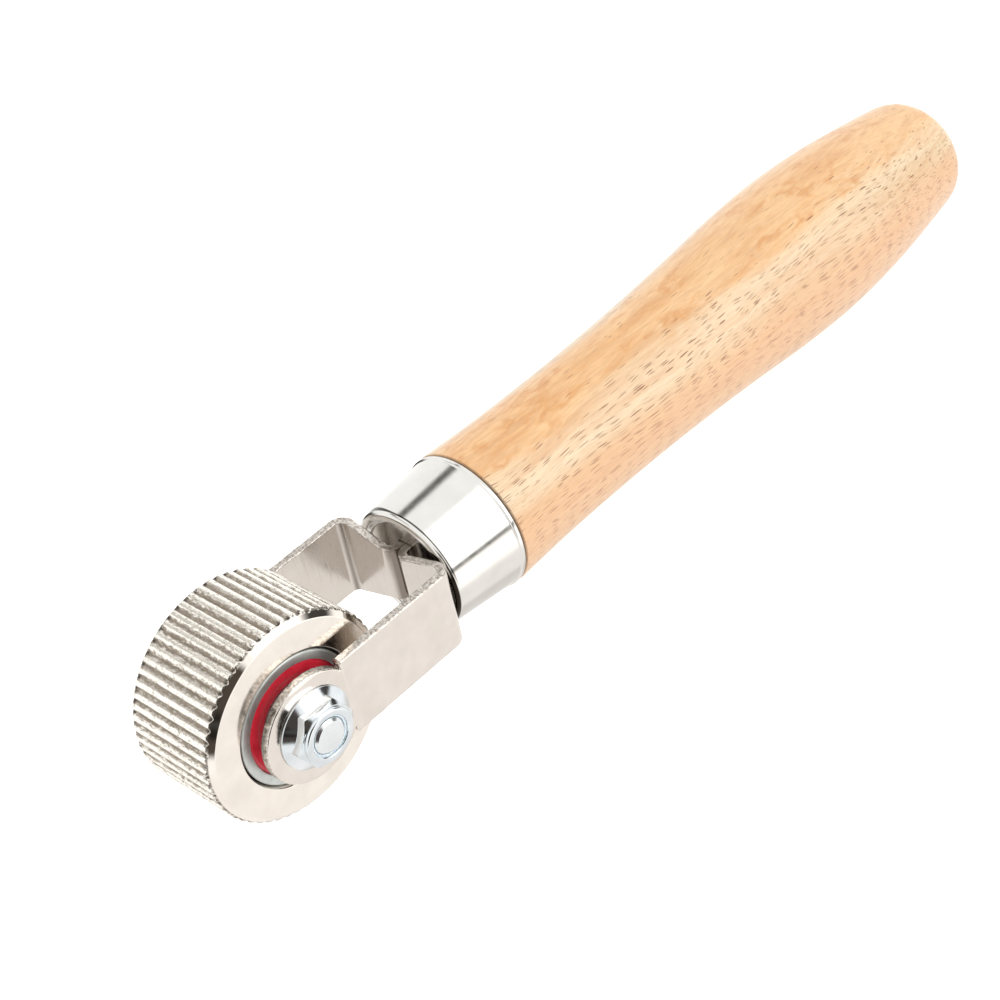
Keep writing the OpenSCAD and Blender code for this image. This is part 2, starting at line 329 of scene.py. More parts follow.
def wheel_nickel():
    """Nickel on the wheel: smooth on the faces, bright on the bevels and the worn ridges, and rough
    and tarnished in the grooves, and near black where the grooves run out towards the bevels."""
    look = metal(
        "wheel_nickel", (0.78, 0.73, 0.67), (0.85, 0.80, 0.745), 0.11, (2600, 2600, 2600), 0.1
    )
    height = look.rise(look.distance(x=1, z=1), wheel_r - 0.45, wheel_r - 0.03)
    along = look.size("Y")
    rim_end = wheel_half_w - BEVEL_W
    on_rim = look.rise(along, rim_end + 0.4, rim_end + 0.15)
    bevel_out = look.rise(along, rim_end + 0.3, rim_end + 0.45)
    on_bevel = look.times(bevel_out, look.rise(along, wheel_half_w - 0.05, wheel_half_w - 0.15))
    specks = look.noise((2600, 1100, 2600), 6, roughness=0.85)
    level = look.math("ADD", height, look.span(specks, 0.4, 0.62, 0.6, -0.7))
    crown = look.times(look.span(height, 0.6, 0.95, smooth=True), on_rim)
    look.over("Base Color", crown, (0.97, 0.93, 0.86))
    tarnish = look.times(look.span(level, 0.78, 0.25, smooth=True), on_rim)
    near_end = look.span(along, (rim_end - 0.7) * MM, rim_end * MM, smooth=True)
    look.over("Base Color", look.times(tarnish, 0.82), (0.22, 0.175, 0.125))
    # Near black towards the ends of the grooves, where they run out towards the bevels.
    look.over("Base Color", look.times(near_end, tarnish, 0.85), (0.03, 0.024, 0.018))
    look.over("Roughness", on_rim, look.span(tarnish, 0, 1, 0.16, 0.5))
    look.over("Roughness", on_bevel, 0.05)
    bumps = look.noise((1500, 1100, 1500), 4, roughness=0.7)
    look.set("Normal", look.bump(look.times(bumps, on_rim), 0.00008, 0.7))
    return look.material


def fork_inside(look, top_edge):
    """Mask of the sheet's inner surface, without its sheared top and bottom."""
    between_arms = look.rise(look.size("Y"), arm_y - 1.05, arm_y - 1.25)
    ahead_of_back = look.rise(look.axis("X"), WEB_BACK_X - 1.0, WEB_BACK_X - 1.2)
    return look.times(between_arms, ahead_of_back, look.math("SUBTRACT", 1.0, top_edge))


def fork_top_edge(look):
    """Mask of the sheared edges along the arms and the tapered web."""
    tall = look.span(
        look.size("Y"), TAPER_IN_Y * MM, TAPER_OUT_Y * MM, FOLD_H / 2 * MM, ARM_H / 2 * MM
    )
    return look.rise(look.math("SUBTRACT", look.size("Z"), tall), -0.3, -0.15)


def fork_painted_shade(look, inside):
    """Painted shade: darkens the two rear corners and the valley where the sheet folds back into the
    tang.
    """
    outward = look.rise(look.size("Y"), arm_y - CORNER_R + 0.4, arm_y - CORNER_R + 1.0)
    back = look.rise(look.axis("X"), WEB_BACK_X - CORNER_R + 0.4, WEB_BACK_X - CORNER_R + 1.0)
    look.over("Base Color", look.times(outward, back, inside, 0.85), (0.08, 0.06, 0.045))
    middle = look.rise(look.size("Y"), 2.1, 1.2)
    deep = look.rise(look.axis("X"), WEB_BACK_X - SHEET_T + 0.05, WEB_BACK_X - SHEET_T + 0.6)
    look.over("Base Color", look.times(middle, deep, 0.8), (0.10, 0.075, 0.055))


def fork_nickel():
    """Nickel on rolled sheet: torn at its sheared edges, and duller inside, where it keeps the marks
    of its drawing, with painted shade on the inner faces, in the rear corners and in the fold."""
    look = metal(
        "fork_nickel", (0.69, 0.64, 0.595), (0.75, 0.70, 0.655), 0.13, (1800, 1800, 700), 0.05
    )
    top_edge = fork_top_edge(look)
    inside = fork_inside(look, top_edge)
    # Painted shade: the inner faces between the arms are darker in colour.
    look.over("Base Color", look.times(inside, 0.45), (0.48, 0.44, 0.40))
    # Painted shade in the rear corners and in the fold.
    fork_painted_shade(look, inside)
    on_eye = look.math("LESS_THAN", look.axis("X"), SHOULDER_X * MM)
    top_edge = look.times(top_edge, look.math("SUBTRACT", 1.0, on_eye))
    eye_edge = look.times(on_eye, look.rise(look.distance(x=1, z=1), eye_r - 0.16, eye_r - 0.06))
    edge = look.math("MAXIMUM", top_edge, eye_edge)
    torn = look.span(look.noise((2600, 1700, 2600), 5, roughness=0.8), 0.46, 0.58)
    look.over("Base Color", look.times(edge, torn, 0.75), (0.17, 0.14, 0.105))
    look.over("Roughness", edge, 0.3)
    drawn = look.noise((3600, 3600, 160), 3)
    look.over("Roughness", inside, look.span(drawn, 0.3, 0.7, 0.12, 0.3))
    return look.material


def rim_painted_shadow(look):
    """Mask of the painted shadow line behind the ferrule's rolled rim, widest at the top on the far side.
    """
    turn = look.math("ARCTAN2", look.axis("Z"), look.axis("Y"))
    off = look.math("ABSOLUTE", look.math("SUBTRACT", turn, 0.8))
    wide = look.times(look.span(off, 0.75, 0.1, smooth=True), 0.7 * MM)
    back = look.math("SUBTRACT", look.axis("X"), wide)
    return look.times(
        look.rise(look.axis("X"), ferrule_x + 0.58, ferrule_x + 0.7),
        look.rise(back, ferrule_x + 1.0, ferrule_x + 0.82),
        look.rise(look.distance(y=1, z=1), FERRULE_FRONT_R - 0.7, FERRULE_FRONT_R - 0.4),
        look.rise(look.axis("Z"), 1, 4),
    )


def ferrule_nickel():
    """Bright nickel on a drawn cap, duller on the wall at its front, with painted shade behind its rim
    and behind the near arm."""
    look = metal(
        "ferrule_nickel", (0.69, 0.675, 0.65), (0.74, 0.725, 0.70), 0.13, (300, 2400, 2400)
    )
    end_x, inner_r = ferrule_x + END_RECESS, FERRULE_FRONT_R - 2 * RIM_R
    wall = look.times(
        look.rise(look.axis("X"), end_x + 0.4, end_x + 0.1),
        look.rise(look.distance(y=1, z=1), inner_r + 0.5, inner_r + 0.2),
    )
    look.over("Roughness", wall, 0.18)
    # Painted shadow: a near-black line behind the rolled rim.
    look.over("Base Color", rim_painted_shadow(look), (0.03, 0.025, 0.02))
    # Painted shade: the cap's front is darkened where the near arm stands before it.
    painted_shade_behind_arm = look.times(
        look.rise(look.axis("X"), ferrule_x + 0.6, ferrule_x + 0.45),
        look.rise(look.axis("Y"), -7, -8.5),
        look.rise(look.axis("Z"), 5, 3),
    )
    look.over("Base Color", painted_shade_behind_arm, (0.03, 0.024, 0.018))
    look.set("Normal", look.bump(look.noise((120, 900, 900), 2), 0.00002, 0.1))
    return look.material


def bearing_steel():
    """Ground steel with fine rings round the axle."""
    look = Look("bearing_steel", {"Metallic": 1.0})
    radius = look.distance(x=1, z=1)
    rings = look.node(
        "ShaderNodeTexNoise", {"W": radius, "Scale": 14000.0, "Detail": 2.0}, noise_dimensions="1D"
    ).outputs["Fac"]
    patches = look.noise(500, 3)
    tone = look.mix(look.span(patches, 0.3, 0.7), (0.48, 0.51, 0.50), (0.64, 0.67, 0.66))
    look.set("Base Color", look.mix(look.span(rings, 0.35, 0.65, 0, 0.35), tone, (0.76, 0.79, 0.78)))
    look.set("Roughness", look.span(rings, 0.3, 0.7, 0.42, 0.56))
    look.set("Normal", look.bump(rings, 0.00001, 0.4))
    return look.material


def ball_steel():
    return metal("ball_steel", (0.6, 0.61, 0.62), (0.72, 0.73, 0.74), 0.06, (900, 900, 900)).material


def turned_steel():
    """Bright turned steel, with tool marks round the axle."""
    look = metal("turned_steel", (0.52, 0.51, 0.49), (0.66, 0.65, 0.62), 0.24, (700, 5200, 700))
    return look.material


def zinc(name, dull, bright, roughness):
    return metal(name, dull, bright, roughness, (1500, 1500, 1500), 0.04).material


def seal_rubber():
    """Moulded crimson rubber with a faint bloom."""
    look = Look("seal_rubber", {"Specular IOR Level": 0.5})
    patches = look.noise(420, 4)
    look.set("Base Color", look.ramp(patches, (0.3, 0.60, 0.008, 0.028), (0.75, 0.78, 0.03, 0.06)))
    look.set("Roughness", look.span(look.noise(2600, 3), 0.3, 0.7, 0.3, 0.44))
    look.set("Normal", look.bump(look.noise(5200, 2), 0.00001, 0.35))
    return look.material


def cage_polyamide():
    """Glass-filled moulding, amber brown with short pale fibres."""
    look = Look("cage_polyamide", {})
    fibres = look.noise((5200, 900, 5200), 2)
    look.set("Base Color", look.ramp(fibres, (0.35, 0.30, 0.17, 0.07), (0.7, 0.48, 0.30, 0.14)))
    look.set("Roughness", look.span(fibres, 0.3, 0.7, 0.38, 0.55))
    return look.material


def nylon():
    """Cloudy pale blue nylon."""
    look = Look("nylon", {"Subsurface Weight": 0.15, "Subsurface Scale": 0.001})
    cloud = look.noise(900, 3)
    look.set("Base Color", look.ramp(cloud, (0.3, 0.55, 0.63, 0.70), (0.7, 0.74, 0.80, 0.85)))
    look.set("Roughness", look.span(cloud, 0.3, 0.7, 0.3, 0.45))
    return look.material


def wood_tone_and_painted_highlight(look, level):
    """Ground colour by the height round the handle: peach below, cream on the upper sides as a painted
    highlight, orange on top.
    """
    return look.ramp(
        look.span(level, -0.6, 1.8), (0.1, 0.62, 0.40, 0.235), (0.3, 0.64, 0.40, 0.235),
        (0.44, 0.67, 0.45, 0.27), (0.56, 0.71, 0.56, 0.375), (0.64, 0.75, 0.56, 0.36),
        (0.72, 0.79, 0.51, 0.27), (0.9, 0.79, 0.49, 0.24),
    )


def wood_bands(look, tone, bend):
    """Adds broad growth bands and fine lines along the handle."""
    bands = look.noise((9, 110, 260), 3, bend)
    tone = look.mix(look.span(bands, 0.5, 0.7, 0, 0.55), tone, (0.64, 0.36, 0.175))
    lines = look.noise((26, 500, 1700), 4, bend)
    return look.mix(look.span(lines, 0.48, 0.7, 0, 0.45), tone, (0.57, 0.31, 0.16))


def wood_figure(look, on_side):
    """Mask of the flames and curls on the orange."""
    flames = look.span(look.noise((60, 300, 300), 4, look.place, 0.65), 0.48, 0.68, 0, 0.6)
    curls = look.noise((170, 330, 330), 3, look.place, 0.5)
    curl = look.span(look.math("ABSOLUTE", look.math("SUBTRACT", curls, 0.54)), 0.12, 0.0)
    patchy = look.span(look.noise((70, 190, 190), 2), 0.45, 0.6, 0, 0.85)
    figure = look.math("MAXIMUM", flames, look.times(curl, patchy))
    return look.times(figure, look.span(on_side, 0.8, 0.1))


def wood_flecks(look, on_side, bend):
    """Mask of short dark ray flecks, each with its own length and depth, more of them on the sides."""
    cell = look.cells((270, 5400, 5400), bend)
    pick = look.node("ShaderNodeSeparateColor", {0: cell.outputs["Color"]})
    chosen = look.math("GREATER_THAN", pick.outputs[0], look.span(on_side, 0, 1, 0.95, 0.55))
    size = look.span(pick.outputs[1], 0, 1, 0.22, 0.42)
    fleck = look.span(look.math("SUBTRACT", cell.outputs["Distance"], size), 0.06, -0.04)
    return look.times(chosen, fleck, look.span(pick.outputs[2], 0, 1, 0.4, 1.0))


def beech():
    """Satin-varnished beech, with a dark seam at the ferrule."""
    look = Look("beech", {
        "Coat Weight": 0.7, "Coat Roughness": 0.2, "Coat IOR": 1.5, "Specular IOR Level": 0.2,
    })
    sway = look.span(look.noise((16, 70, 70), 3), 0, 1, -0.003, 0.003)
    bend = look.node("ShaderNodeVectorMath", {
        0: look.place, 1: look.node("ShaderNodeCombineXYZ", {"Y": sway, "Z": sway}).outputs[0],
    }, operation="ADD").outputs[0]
    round_it = look.math("ARCTAN2", look.axis("Z"), look.size("Y"))
    uneven = look.span(look.noise((14, 90, 90), 3), 0.3, 0.7, -0.2, 0.2)
    level = look.math("ADD", round_it, uneven)
    on_side = look.span(level, 0.75, 1.15, 1, 0, smooth=True)
    # The cream in this ground colour is a painted highlight.
    tone = wood_bands(look, wood_tone_and_painted_highlight(look, level), bend)
    tone = look.mix(wood_figure(look, on_side), tone, (0.63, 0.29, 0.09))
    grain = look.noise((260, 3200, 3200), 4, bend, 0.7)
    tone = look.mix(look.span(grain, 0.42, 0.75, 0, 0.42), tone, (0.46, 0.24, 0.13))
    fleck = wood_flecks(look, on_side, bend)
    tone = look.mix(fleck, tone, (0.23, 0.09, 0.038))
    seam = look.times(look.rise(look.axis("X"), ferrule_end_x + 0.55, ferrule_end_x + 0.12), 0.9)
    look.set("Base Color", look.mix(seam, tone, (0.05, 0.03, 0.02)))
    look.set("Roughness", look.span(grain, 0.3, 0.7, 0.4, 0.55))
    height = look.math("SUBTRACT", look.times(grain, 0.5), fleck)
    look.set("Normal", look.bump(height, 0.00005, 0.3))
    return look.material


# ----------------------------------------------------------------- the roller

RIDGES = 56
RIDGE_STEPS = 12
GROOVE_DEPTH = 0.42
GROOVE_W = 1.0
CROWN_R = 1.1
BEVEL_R = 1.3
BEVEL_W = 1.05
LAND_R = 9.5
SEAT_GAP = 0.5
SEAT_DEPTH = 1.1


def ridged(radius, place, angle):
    """Cuts round grooves into a turned rim and crowns the ridges, each a little uneven in line,
    depth and wear."""
    pitch = FULL_TURN / RIDGES
    groove = np.round(angle / pitch).astype(int) % RIDGES
    ridge = np.floor(angle / pitch).astype(int) % RIDGES
    depth = (GROOVE_DEPTH + rng.normal(0, 0.03, RIDGES))[groove]
    wear = np.abs(rng.normal(0, 0.03, RIDGES))[ridge]
    wander = 0.012 * np.sin(place * 0.3 + 2 * groove) + 0.003 * np.sin(place * 2.3 + 5 * groove)
    across = (angle - np.round(angle / pitch) * pitch) * wheel_r + wander
    cutter = (GROOVE_W ** 2 / 4 + GROOVE_DEPTH ** 2) / (2 * GROOVE_DEPTH)
    reach = np.clip(np.abs(across), 0, cutter * 0.9)
    floor = wheel_r - depth + cutter - np.sqrt(cutter ** 2 - reach ** 2)
    floor = floor + 2.0 * (np.abs(across) - reach)
    off_ridge = pitch * wheel_r / 2 - np.abs(across)
    crown = wheel_r - off_ridge ** 2 / (2 * CROWN_R) - wear * (1 + 0.15 * np.sin(place * 1.7 + ridge))
    cut = smoother_min(smoother_min(radius, crown, 0.05), floor, 0.12)
    return np.where(radius > wheel_r - BEVEL_R + 0.1, np.minimum(radius, cut), radius), place


def roller_outline():
    """Half-section of the wheel, from the bearing lands round the flat faces, bevels and rim."""
    side = [
        (LAND_R, bearing_in_y, 0.15),
        (bearing_r, bearing_in_y, 0.1),
        (bearing_r, wheel_half_w - SEAT_DEPTH, 0.05),
        (bearing_r + SEAT_GAP, wheel_half_w, 0.15),
        (wheel_r - BEVEL_R, wheel_half_w, 0.3),
        (wheel_r, wheel_half_w - BEVEL_W, 0.3),
    ]
    whole = side + [(radius, -place, fillet) for radius, place, fillet in reversed(side)]
    outline = rounded(whole, 9)
    finer = []
    for here, ahead in zip(outline, np.roll(outline, -1, 0)):
        on_rim = min(here[0], ahead[0]) > wheel_r - BEVEL_R - 0.2
        longest = 0.1 if abs(here[1] - ahead[1]) < 4 else 0.8
        parts = max(1, math.ceil(np.linalg.norm(ahead - here) / longest)) if on_rim else 1
        finer.extend(here + (ahead - here) * part / parts for part in range(parts))
    return np.array(finer)


def make_wheel():
    part = turned(roller_outline(), RIDGES * RIDGE_STEPS, shape=ridged)
    piece("ridged_wheel", [part], "roller", wheel_nickel(), ["roller_wheel"], 50)


# --------------------------------------------------------------- the bearings

INNER_LAND_R = 6.05
OUTER_LAND_R = 8.95
TRACK_R = 2.05
PITCH_R = 7.5
SEAL_GAP = 0.12


def outer_ring_outline():
    """Section of the outer ring: ground faces, ball track and a step for each seal."""
    middle = (bearing_in_y + bearing_out_y) / 2
    half = (bearing_out_y - bearing_in_y) / 2
    step = seal_in_y - middle
    edge = math.acos((OUTER_LAND_R - PITCH_R) / TRACK_R)
    track = [
        (PITCH_R + TRACK_R * math.cos(turn), TRACK_R * math.sin(turn), 0)
        for turn in np.linspace(-edge, edge, 17)
    ]
    corners = [
        (seal_r, -half, 0.12), (bearing_r, -half, 0.3), (bearing_r, half, 0.3), (seal_r, half, 0.12),
        (seal_r, step, 0.05), (OUTER_LAND_R, step, 0.05), *reversed(track),
        (OUTER_LAND_R, -step, 0.05), (seal_r, -step, 0.05),
    ]
    return rounded(corners, 15) + [0, middle]


def seal_outline():
    """Section of a moulded seal: a raised bead at the rim, a shallow dish and a thin lip inside."""
    inner = INNER_LAND_R + SEAL_GAP
    inside, outside = seal_in_y, seal_out_y
    return rounded([
        (inner, inside + 0.1, 0.04), (inner + 0.5, inside, 0.05), (seal_r, inside, 0.08),
        (seal_r, outside - 0.1, 0.12), (seal_r - 0.55, outside, 0.2), (7.6, outside - 0.06, 0.5),
        (7.0, outside - 0.26, 0.3), (inner + 0.35, outside - 0.26, 0.1), (inner, outside - 0.4, 0.04),
    ], 12)


def make_bearings():
    steel, rubber = bearing_steel(), seal_rubber()
    ring, seal = turned(outer_ring_outline(), 160), turned(seal_outline(), 160)
    for side, word in ((NEAR, "near"), (FAR, "far")):
        ring_part = ring if side == FAR else mirrored(ring)
        seal_part = seal if side == FAR else mirrored(seal)
        piece(
            f"{word}_outer_race", [ring_part], "roller", steel,
            [f"{word}_outer_ring"],
        )
        piece(
            f"{word}_seal", [seal_part], "roller", rubber,
            [f"{word}_outward_seal"], 60,
        )
        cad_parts[f"{word}_inward_seal"].data.materials[0] = rubber
        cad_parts[f"{word}_inner_ring"].data.materials[0] = steel


# ------------------------------------------------------------------- the fork

SHEET_T = 1.5
ARM_H = 14.5
SHOULDER_X = 7.2
CORNER_R = 2.8
WEB_BACK_X = 32.0
FOLD_H = 10.4
FOLD_R = 2.5
TAPER_IN_Y = 2.4
TAPER_OUT_Y = 9.8
EYE_BORE_R = 3.2
FIRST_STATION = 0.6
STATION_STEP = 1.2
OUTER_ROUND = 0.32
INNER_ROUND = 0.2
SHEAR_ROUGH = 0.05


def bend_path():
    """(length, heading change, centre radius) of each stretch of the sheet, from the eye to the tang."""
    corner_x = WEB_BACK_X - CORNER_R
    mid = SHEET_T / 2
    return [
        (corner_x, 0, 0),
        ((CORNER_R - mid) * math.pi / 2, math.pi / 2, CORNER_R - mid),
        (arm_y - CORNER_R - FOLD_R, 0, 0),
        ((FOLD_R - mid) * math.pi / 2, -math.pi / 2, FOLD_R - mid),
        (tang_end_x - (WEB_BACK_X - SHEET_T + FOLD_R), 0, 0),
    ]


def folded(length, height, rise):
    """Place in the frame of a point of the flat sheet: length along it from the eye, height up it, and
    rise out of its middle plane towards the outside of the near arm."""
    x, y, heading = 0.0, -(arm_y - SHEET_T / 2), 0.0
    left = length
    for index, (stretch, turn, radius) in enumerate(bend_path()):
        last = index == len(bend_path()) - 1
        here = left if last else min(left, stretch)
        if turn == 0:
            x += here * math.cos(heading)
            y += here * math.sin(heading)
        else:
            sign = math.copysign(1, turn)
            angle = sign * here / radius
            x += sign * radius * (math.sin(heading + angle) - math.sin(heading))
            y -= sign * radius * (math.cos(heading + angle) - math.cos(heading))
            heading += angle
        left -= here
        if left <= 0 and not last:
            break
    return x + rise * math.sin(heading), y - rise * math.cos(heading), height


def half_height(length):
    """Half of the sheet's height at a place behind the shoulder."""
    stretches = [stretch for stretch, turn, radius in bend_path()]
    web_start = stretches[0] + stretches[1]
    wide = web_start + (arm_y - CORNER_R - TAPER_OUT_Y)
    narrow = web_start + (arm_y - CORNER_R - TAPER_IN_Y)
    return float(np.interp(length, [wide, narrow], [ARM_H / 2, FOLD_H / 2]))


def stations():
    """Places along the sheet where it needs a row of points: its bends finely, the rest coarsely."""
    edges = np.cumsum([0] + [stretch for stretch, turn, radius in bend_path()])
    places = [SHOULDER_X + FIRST_STATION, SHOULDER_X + 1.5 * FIRST_STATION]
    for index, (stretch, turn, radius) in enumerate(bend_path()):
        start = max(edges[index], SHOULDER_X + 2 * FIRST_STATION)
        steps = 24 if turn else max(2, round((edges[index + 1] - start) / STATION_STEP))
        places.extend(np.linspace(start, edges[index + 1], steps, endpoint=False))
    places.append(edges[-1] - 0.6)
    return places


def fork_side_outline():
    """Upper half of the sheet's flat outline, from the front of the eye to the end of the tang."""
    notch_z = math.sqrt(eye_r ** 2 - SHOULDER_X ** 2)
    notch_angle = math.atan2(notch_z, SHOULDER_X)
    arc = [
        (eye_r * math.cos(turn), eye_r * math.sin(turn))
        for turn in np.linspace(math.pi, notch_angle, 60)
    ]
    shoulder = rounded([
        (SHOULDER_X - 1.2, notch_z + 0.95, 0), (SHOULDER_X, notch_z, 0.12),
        (SHOULDER_X, ARM_H / 2, 0.42), (SHOULDER_X + FIRST_STATION, ARM_H / 2, 0),
    ], 12)[1:-1]
    edge = [(place, half_height(place)) for place in stations()]
    end = tang_end_x - (WEB_BACK_X - SHEET_T + FOLD_R) + sum(row[0] for row in bend_path()[:4])
    tail = rounded([
        (end - 1, FOLD_H / 2, 0), (end, FOLD_H / 2, 0.5), (end, 0, 0),
    ], 15)[1:]
    return np.array(arc[:-1] + list(map(tuple, shoulder)) + edge + list(map(tuple, tail)))


def inset(loop, distance):
    """A closed anticlockwise or clockwise loop moved inwards by distance."""
    before, after = np.roll(loop, 1, 0), np.roll(loop, -1, 0)
    into, out = loop - before, after - loop
    into /= np.linalg.norm(into, axis=1)[:, None]
    out /= np.linalg.norm(out, axis=1)[:, None]
    mean = into + out
    mean /= np.linalg.norm(mean, axis=1)[:, None]
    normal = np.stack([mean[:, 1], -mean[:, 0]], 1)
    stretch = 1 / np.clip((mean * into).sum(1), 0.5, 1)
    area = 0.5 * np.sum(loop[:, 0] * after[:, 1] - loop[:, 1] * after[:, 0])
    return loop + normal * (-math.copysign(1, area) * distance * stretch)[:, None]


def sheet_rows(loop):
    """(outline, rise) of each row of points through the sheet's thickness, with round edges."""
    rows = []
    for edge, side in ((INNER_ROUND, -1), (OUTER_ROUND, 1)):
        level = [
            (
                inset(loop, edge * (1 - math.cos(turn))),
                side * (SHEET_T / 2 - edge + edge * math.sin(turn)),
            )
            for turn in np.linspace(0, math.pi / 2, 6)
        ]
        rows += level[::-1] if side < 0 else level
    return rows


def eye_face(flat, start, count, stations_at, bore):
    """Faces between the eye's outline and its bore, on the side whose points begin at start."""
    ring = [start + step for step in range(stations_at + 1)]
    ring += [start + (count - step) % count for step in range(stations_at, 0, -1)]
    loops = [[Vector((flat[corner][0], flat[corner][1], 0)) for corner in loop] for loop in (ring, bore)]
    names = ring + bore
    return [[names[corner] for corner in face] for face in tessellate_polygon(loops)]


def sheet_half():
    """Near half of the fork: the flat outline with rounded edges, folded to its final form."""
    upper = fork_side_outline()
    loop = np.concatenate([upper, (upper * [1, -1])[1:-1][::-1]])
    count = len(loop)
    rows = sheet_rows(loop)
    sheared = rng.normal(0, SHEAR_ROUGH, (len(rows), count))
    sheared[[0, -1]] = 0
    skin = [
        [(x * (1 + bite / 30), z * (1 - abs(bite) / 9), rise) for (x, z), bite in zip(outline, bites)]
        for (outline, rise), bites in zip(rows, sheared)
    ]
    points, faces = lofted(np.array(skin))
    flat, faces = [tuple(point) for point in points], faces[:-count]
    hole = [
        (EYE_BORE_R * math.cos(turn), EYE_BORE_R * math.sin(turn))
        for turn in np.linspace(0, FULL_TURN, 48, endpoint=False)
    ]
    stations_at = int(np.argmax(np.isclose(upper[:, 0], SHOULDER_X + FIRST_STATION)))
    bores = []
    for row, side in ((0, -1), (len(rows) - 1, 1)):
        start = row * count
        for step in range(stations_at, len(upper) - 1):
            other, beyond = (count - step) % count, (count - step - 1) % count
            faces.append([start + step, start + step + 1, start + beyond, start + other])
        bores.append([len(flat) + step for step in range(len(hole))])
        flat += [(x, z, side * SHEET_T / 2) for x, z in hole]
        faces += eye_face(flat, start, count, stations_at, bores[-1])
    low, high = bores
    faces += [list(edge) for edge in zip(low, low[1:] + low[:1], high[1:] + high[:1], high)]
    return [folded(*point) for point in flat], faces


def make_fork():
    near = sheet_half()
    piece("fork_sheet", [near, mirrored(near)], "frame", fork_nickel(), ["fork"], 45)


# --------------------------------------------------------- the bolt and the nut

BOLT_R = 3.0
THREAD_GAP = 0.02
THREAD_PITCH = 1.0
THREAD_DEPTH = 0.5
THREAD_L = 18.0
NUT_RIM_H = 0.3
NUT_CONE_SLOPE = 0.68
NUT_HEX_TOP = 2.95
NUT_LIP_R = 3.45
COLLAR_R = 4.7


def hexagon(angle, across_flats, corner_round):
    """Radius of a hexagon with slightly round corners."""
    turn = np.mod(angle, math.pi / 3) - math.pi / 6
    corner = across_flats / 2 / math.cos(math.pi / 6)
    return smoother_min(across_flats / 2 / np.cos(turn), corner - corner_round, 0.12)


def around(rows, steps, place_of):
    """Rings from (radius, height) rows, each a number or one number for each step round the axle."""
    angle = np.arange(steps) * FULL_TURN / steps
    rings = []
    for radius, height in rows:
        radius, height = np.broadcast_to(radius, steps), np.broadcast_to(height, steps)
        rings.append(np.stack([radius * np.cos(angle), place_of(height), radius * np.sin(angle)], -1))
    return lofted(np.array(rings))


def nut_part():
    """Flanged hexagon nut whose domed collar is rolled in over the locking ring."""
    steps = 240
    angle = np.arange(steps) * FULL_TURN / steps
    wall = hexagon(angle, head_af, 0.08)
    height, pocket = -nut_top_y - arm_y, -insert_in_y - arm_y
    shoulder = NUT_HEX_TOP - np.clip(wall - (head_af / 2 - 0.1), 0, 2) * 0.75
    cone_top = NUT_RIM_H + (flange_r - 0.1 - wall) * NUT_CONE_SLOPE
    rows = [(BOLT_R + THREAD_GAP, 0.3), (BOLT_R + 0.3, 0.0), (flange_r - 0.12, 0.0), (flange_r, 0.12)]
    rows += [
        (flange_r - 0.2 * (1 - math.cos(turn)), NUT_RIM_H - 0.12 + 0.2 * math.sin(turn))
        for turn in np.linspace(0, math.radians(50), 5)
    ]
    rows += [
        (wall + 0.1, cone_top - 0.07), (wall + 0.03, cone_top - 0.01), (wall, cone_top + 0.1),
        (wall, shoulder - 0.14), (wall - 0.02, shoulder - 0.05), (wall - 0.1, shoulder + 0.02),
        (head_af / 2 - 0.1, NUT_HEX_TOP), (COLLAR_R + 0.05, NUT_HEX_TOP + 0.01),
        (COLLAR_R, NUT_HEX_TOP + 0.06),
    ]
    round_r = height - NUT_HEX_TOP - 0.1
    rows += [
        (COLLAR_R - round_r * (1 - math.cos(turn)), NUT_HEX_TOP + 0.1 + round_r * math.sin(turn))
        for turn in np.linspace(0, math.radians(80), 9)
    ]
    rows += [
        (NUT_LIP_R + 0.3, height - 0.015), (NUT_LIP_R + 0.08, height - 0.04),
        (NUT_LIP_R, height - 0.12), (NUT_LIP_R, height - 0.28), (insert_r, height - 0.32),
        (insert_r, pocket), (BOLT_R + THREAD_GAP, pocket),
    ]
    return around(rows, steps, lambda value: -arm_y - value)


def insert_part():
    """Nylon ring with a soft raised lip round the bolt."""
    outline = rounded([
        (BOLT_R + THREAD_GAP, insert_in_y, 0.05), (BOLT_R + THREAD_GAP, insert_out_y, 0.2),
        (insert_r, insert_out_y, 0.12), (insert_r, insert_in_y, 0.05),
    ], 15)
    return turned(outline, 120)


def threaded(radius, place, angle):
    """Cuts a helical thread where the outline is at the bolt's own radius, near its end."""
    turns = place / THREAD_PITCH - angle / FULL_TURN
    depth = THREAD_DEPTH * np.clip(2.2 * np.abs(turns - np.round(turns)) - 0.1, 0, 1)
    start = bolt_end_y + THREAD_L
    fade = np.clip((start - place) / 1.5, 0, 1) * (place > bolt_end_y + 0.5)
    inside = (radius > BOLT_R - 0.01) & (place < start)
    return np.where(inside, radius - depth * fade, radius), place


